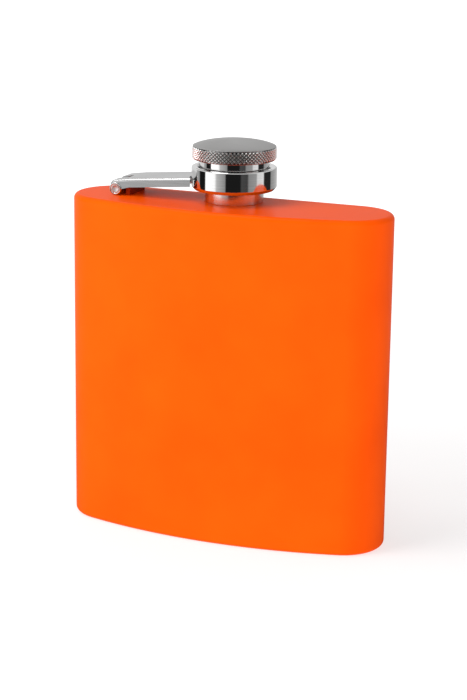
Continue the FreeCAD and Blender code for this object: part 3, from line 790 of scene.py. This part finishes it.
def make_knurl(material):
    """Knurled band, made by the tree and turned into one plain mesh."""
    tree = make_knurl_tree()
    holder = bpy.data.objects.new("knurl_work", bpy.data.meshes.new("knurl_work"))
    bpy.context.collection.objects.link(holder)
    modifier = holder.modifiers.new("knurl", "NODES")
    modifier.node_group = tree
    values = {"Teeth": KNURL_TEETH, "Rows": KNURL_ROWS, "Radius": HEAD_RADIUS * MM, "Depth": KNURL_DEPTH * MM,
              "Low": PLATE_Z + (HEAD_LOW + KNURL_GAP) * MM, "High": PLATE_Z + (BAND_TOP - KNURL_GAP) * MM,
              "Axis Y": AXIS_Y, "Seed": 7, "Material": material}
    for item in tree.interface.items_tree:
        if item.in_out == "INPUT":
            modifier[item.identifier] = values[item.name]
    graph = bpy.context.evaluated_depsgraph_get()
    mesh = bpy.data.meshes.new_from_object(holder.evaluated_get(graph), depsgraph=graph)
    bpy.data.objects.remove(holder)
    mesh.name = "knurl_band"
    mesh.materials.clear()
    return new_piece("knurl_band", mesh, material, "cap", [])


# ---------------------------------------------------------------- arm and hinge

def make_arm(material):
    """Lid arm: the pressed channel with its edges broken."""
    mesh = cad_copy("lid_arm", "lid_arm_pressed", 0.16)
    return new_piece("lid_arm_pressed", mesh, material, "arm", ["lid_arm"])


def make_bracket(material):
    """Hinge bracket with its edges broken."""
    mesh = cad_copy("hinge_bracket", "hinge_bracket_bent", 0.14)
    return new_piece("hinge_bracket_bent", mesh, material, "flask", ["hinge_bracket"])


def turned_along_y(name, profile, centre, segments=64):
    """Solid turned about a line along Y through a point. The profile's points are (radius, y), in metres."""
    work = bmesh.new()
    rings = []
    for radius, y in profile:
        if radius < 1e-9:
            rings.append([work.verts.new((centre.x, centre.y + y, centre.z))])
            continue
        ring = []
        for index in range(segments):
            angle = TURN * index / segments
            ring.append(work.verts.new((centre.x + radius * math.cos(angle), centre.y + y,
                                        centre.z + radius * math.sin(angle))))
        rings.append(ring)
    for one, other in zip(rings, rings[1:]):
        for index in range(segments):
            following = (index + 1) % segments
            if len(one) == 1:
                work.faces.new((one[0], other[index], other[following]))
            elif len(other) == 1:
                work.faces.new((one[index], other[0], one[following]))
            else:
                work.faces.new((one[index], other[index], other[following], one[following]))
    bmesh.ops.recalc_face_normals(work, faces=work.faces)
    mesh = bpy.data.meshes.new(name)
    work.to_mesh(mesh)
    work.free()
    shade(mesh)
    return mesh


def mirrored(profile):
    """The profile followed by its mirror image, for a pin with two like ends."""
    return profile + [(radius, -y) for radius, y in reversed(profile)]


def make_hinge_pin(material):
    """Hinge pin with rolled heads round a shallow dimple."""
    low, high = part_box("hinge_pin")
    half = (high.y - low.y) / 2
    head = (high.z - low.z) / 2
    stem = PIN_RADIUS * MM
    lip = 0.3 * MM
    dimple = 0.16 * MM
    profile = [(0.0, -half + dimple), (head * 0.50, -half + dimple), (head * 0.60, -half + dimple * 0.7)]
    steps = 8
    centre = head - lip
    for step in range(steps + 1):
        angle = math.pi * (0.85 - 0.85 * step / steps)
        profile.append((centre + lip * math.cos(angle), -half + lip - lip * math.sin(angle)))
    profile += [(stem, -half + lip), (stem, -half + 2 * lip)]
    mesh = turned_along_y("hinge_pin_headed", mirrored(profile), HINGE)
    return new_piece("hinge_pin_headed", mesh, material, "flask", ["hinge_pin"])


def make_pivot_pin(material):
    """Small pin with slightly domed ends."""
    low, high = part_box("pivot_pin")
    half = (high.y - low.y) / 2
    radius = (high.z - low.z) / 2
    dome = 0.1 * MM
    steps = 6
    profile = [(radius * math.sin(math.pi / 2 * step / steps),
                -half + dome * (1 - math.cos(math.pi / 2 * step / steps))) for step in range(steps + 1)]
    mesh = turned_along_y("pivot_pin_domed", mirrored(profile), PIVOT, 40)
    return new_piece("pivot_pin_domed", mesh, material, "arm", ["pivot_pin"])


def make_lug(material):
    """Lug of the collar with its eye for the pivot pin."""
    root_x = -(COLLAR_RADIUS + COLLAR_GROOVE) / 2
    outline = []
    start = math.pi / 2
    steps = 20
    for step in range(steps + 1):
        angle = start + math.pi * step / steps
        outline.append((PIVOT.x / MM + LUG_RADIUS * math.cos(angle), LUG_RADIUS * math.sin(angle)))
    outline += [(root_x, -LUG_RADIUS), (root_x, LUG_RADIUS)]
    spokes = [TURN * index / 32 for index in range(32)]
    hole = [(PIVOT.x / MM + LUG_EYE * math.cos(angle), LUG_EYE * math.sin(angle)) for angle in spokes]
    work = bmesh.new()
    loops = []
    for loop in (outline, hole):
        for side in (-LUG_HALF_WIDTH, LUG_HALF_WIDTH):
            loops.append([work.verts.new((x * MM, PIVOT.y + side * MM, PIVOT.z + z * MM)) for x, z in loop])
    for one, other in ((loops[0], loops[1]), (loops[2], loops[3])):
        for i in range(len(one)):
            j = (i + 1) % len(one)
            work.faces.new((one[i], one[j], other[j], other[i]))
    for outer, inner in ((loops[0], loops[2]), (loops[1], loops[3])):
        edges = []
        for loop in (outer, inner):
            for i in range(len(loop)):
                edges.append(work.edges.get((loop[i], loop[(i + 1) % len(loop)])))
        bmesh.ops.triangle_fill(work, edges=edges, use_beauty=True)
    bmesh.ops.recalc_face_normals(work, faces=work.faces)
    mesh = bpy.data.meshes.new("collar_lug")
    work.to_mesh(mesh)
    work.free()
    shade(mesh)
    return new_piece("collar_lug", mesh, material, "collar", [])


# ---------------------------------------------------------------- studio

CAMERA_AZIMUTH = 21.79
CAMERA_ELEVATION = 15.04
CAMERA_ROLL = 0.0135
CAMERA_LENS = 101.52
CAMERA_SHIFT = (-0.00273, 0.00276)
CAMERA_PLACE = (0.204023, -0.502907, 0.198716)


def make_camera():
    """Long lens, slightly above the cap and to the right of the front."""
    data = bpy.data.cameras.new("camera")
    data.sensor_width = 36
    data.lens = CAMERA_LENS
    data.shift_x = CAMERA_SHIFT[0]
    data.shift_y = CAMERA_SHIFT[1]
    data.clip_start = 0.01
    data.clip_end = 50
    camera = bpy.data.objects.new("camera", data)
    bpy.context.collection.objects.link(camera)
    azimuth = math.radians(CAMERA_AZIMUTH)
    elevation = math.radians(CAMERA_ELEVATION)
    back = Vector((math.sin(azimuth) * math.cos(elevation), -math.cos(azimuth) * math.cos(elevation),
                   math.sin(elevation)))
    roll = Matrix.Rotation(CAMERA_ROLL, 4, "Z")
    turn = (-back).to_track_quat("-Z", "Y").to_matrix().to_4x4()
    camera.matrix_world = Matrix.Translation(CAMERA_PLACE) @ turn @ roll
    bpy.context.scene.camera = camera


# Strips of the studio seen from the object: (compass angle from -Y towards +X, brightness).
STRIPS = [(-180, 0.55), (-158, 0.75), (-100, 0.8), (-97, 0.45), (-85, 0.3), (-83, 0.01), (-63, 0.01),
          (-60, 1.5), (-32, 1.2), (-26, 0.55), (-3, 0.3), (0, 0.012), (38, 0.012), (42, 0.07), (58, 0.06),
          (62, 0.28), (84, 0.36), (87, 0.75), (107, 0.85), (110, 0.02), (136, 0.02), (139, 0.3), (180, 0.55)]


# Rings of the studio above and below the walls: (where it starts, where it is full, brightness).
RINGS = [(0.30, 0.50, 0.8), (0.78, 0.90, 0.30), (-0.20, -0.34, 0.06), (-0.50, -0.70, 0.40)]
ROOM_LIGHT = 0.39


def make_world():
    """Plain room light, and for the metal upright strips crossed by bright and dark rings."""
    world = bpy.data.worlds.new("studio")
    world.use_nodes = True
    bpy.context.scene.world = world
    tree = world.node_tree
    tree.nodes.clear()
    direction = tree.nodes.new("ShaderNodeTexCoord").outputs["Generated"]
    parts = tree.nodes.new("ShaderNodeSeparateXYZ")
    tree.links.new(direction, parts.inputs[0])
    forward = math_node(tree, "MULTIPLY", parts.outputs["Y"], -1)
    angle = math_node(tree, "ARCTAN2", parts.outputs["X"], forward)
    share = math_node(tree, "ADD", math_node(tree, "DIVIDE", angle, TURN), 0.5)
    walls = ramp(tree, share, [((stop + 180) / 360, (level,) * 3) for stop, level in STRIPS])
    for start, finish, level in RINGS:
        band = remapped(tree, parts.outputs["Z"], start, finish, kind="SMOOTHSTEP")
        mix = tree.nodes.new("ShaderNodeMix")
        mix.data_type = "RGBA"
        tree.links.new(band, mix.inputs["Factor"])
        tree.links.new(walls, mix.inputs["A"])
        mix.inputs["B"].default_value = (level, level, level, 1)
        walls = mix.outputs["Result"]
    studio = tree.nodes.new("ShaderNodeBackground")
    tree.links.new(walls, studio.inputs["Color"])
    room = tree.nodes.new("ShaderNodeBackground")
    room.inputs["Color"].default_value = (1, 1, 1, 1)
    room.inputs["Strength"].default_value = ROOM_LIGHT
    backdrop = tree.nodes.new("ShaderNodeBackground")
    backdrop.inputs["Color"].default_value = (1, 1, 1, 1)
    ray = tree.nodes.new("ShaderNodeLightPath").outputs
    shown = room.outputs[0]
    for kind, source in (("Is Glossy Ray", studio), ("Is Camera Ray", backdrop)):
        choice = tree.nodes.new("ShaderNodeMixShader")
        tree.links.new(ray[kind], choice.inputs[0])
        tree.links.new(shown, choice.inputs[1])
        tree.links.new(source.outputs[0], choice.inputs[2])
        shown = choice.outputs[0]
    output = tree.nodes.new("ShaderNodeOutputWorld")
    tree.links.new(shown, output.inputs[0])


def make_floor():
    """Pale floor that glows as painted light, its glow weaker near the object and full far away so that it
    meets the backdrop. The metal doesn't mirror it.
    """
    mesh = bpy.data.meshes.new("floor")
    size = 6.0
    corners = [(-size, -size, 0), (size, -size, 0), (size, size, 0), (-size, size, 0)]
    mesh.from_pydata(corners, [], [(0, 1, 2, 3)])
    material, tree, shader, place = new_material("glowing_floor")
    shader.inputs["Base Color"].default_value = (0.4, 0.4, 0.4, 1)
    shader.inputs["Roughness"].default_value = 0.75
    shader.inputs["Specular IOR Level"].default_value = 0.1
    # Emission of the floor is painted light: weaker near the object, full far away.
    far = remapped(tree, vector_length(tree, place), 0.1, 0.7)
    tree.links.new(ramp(tree, far, [(0.0, (0.64,) * 3), (1.0, (1.0,) * 3)]),
                   shader.inputs["Emission Color"])
    shader.inputs["Emission Strength"].default_value = 1.0
    mesh.materials.append(material)
    floor = bpy.data.objects.new("floor", mesh)
    bpy.context.collection.objects.link(floor)
    floor.visible_glossy = False


def make_light(name, place, target, size, power, glossy):
    """Rectangular lamp at a place, aimed at a target; glossy tells whether the metal mirrors it."""
    data = bpy.data.lights.new(name, "AREA")
    data.shape = "RECTANGLE"
    data.size = size[0]
    data.size_y = size[1]
    data.energy = power
    light = bpy.data.objects.new(name, data)
    bpy.context.collection.objects.link(light)
    light.location = place
    light.rotation_mode = "QUATERNION"
    light.rotation_quaternion = (Vector(target) - Vector(place)).to_track_quat("-Z", "Y")
    light.visible_glossy = glossy
    light.visible_camera = False
    return light


def make_lights():
    """Large key lamp on the left, a fill in front and a small lamp overhead."""
    middle = (0, 0, 0.05)
    make_light("key_left", (-1.0, -1.0, 0.6), middle, (0.9, 0.9), 16, False)
    make_light("fill_front", (0.6, -1.4, 0.35), middle, (1.2, 0.7), 11, False)
    make_light("overhead", (-0.42, -0.2, 1.25), middle, (0.55, 0.55), 5.4, True)


bpy.context.scene.view_settings.view_transform = "Standard"
make_camera()
make_world()
make_floor()
make_lights()

paint = make_paint("satin_orange_paint", (0.90, 0.079, 0.0007), (0.96, 0.094, 0.0011))
# The bracket's paint is the body's orange made much darker: painted shade for the shadow under the arm.
bracket_paint_darkened_as_shade = make_paint("bracket_paint_with_painted_shade", (0.15, 0.009, 0.001), (0.22, 0.014, 0.001))
polished = make_polished("polished_steel", 0.05, 0.0004)
neck_metal = make_polished("turned_neck_steel", 0.2, 0.0022)
pin_metal = make_pin_metal()
arm_metal = make_brushed("brushed_arm_steel", (0.52, 0.52, 0.52), (0.74, 0.74, 0.74), 0.34, 0.09)
dome_metal = make_brushed("brushed_cap_steel", (0.36, 0.355, 0.35), (0.48, 0.475, 0.47), 0.36, 0.14)
knurl_metal = make_knurl_metal()
seal_plastic = make_seal_plastic()

make_shell(paint)
make_end("painted_top", "top_plate", True, paint)
make_end("painted_bottom", "bottom_plate", False, paint)
make_neck(neck_metal)
make_collar(polished)
make_snap_ring(pin_metal)
make_skirt(polished)
make_seal(seal_plastic)
make_head(dome_metal)
make_knurl(knurl_metal)
make_arm(arm_metal)
make_bracket(bracket_paint_darkened_as_shade)
make_hinge_pin(pin_metal)
make_pivot_pin(pin_metal)
make_lug(polished)
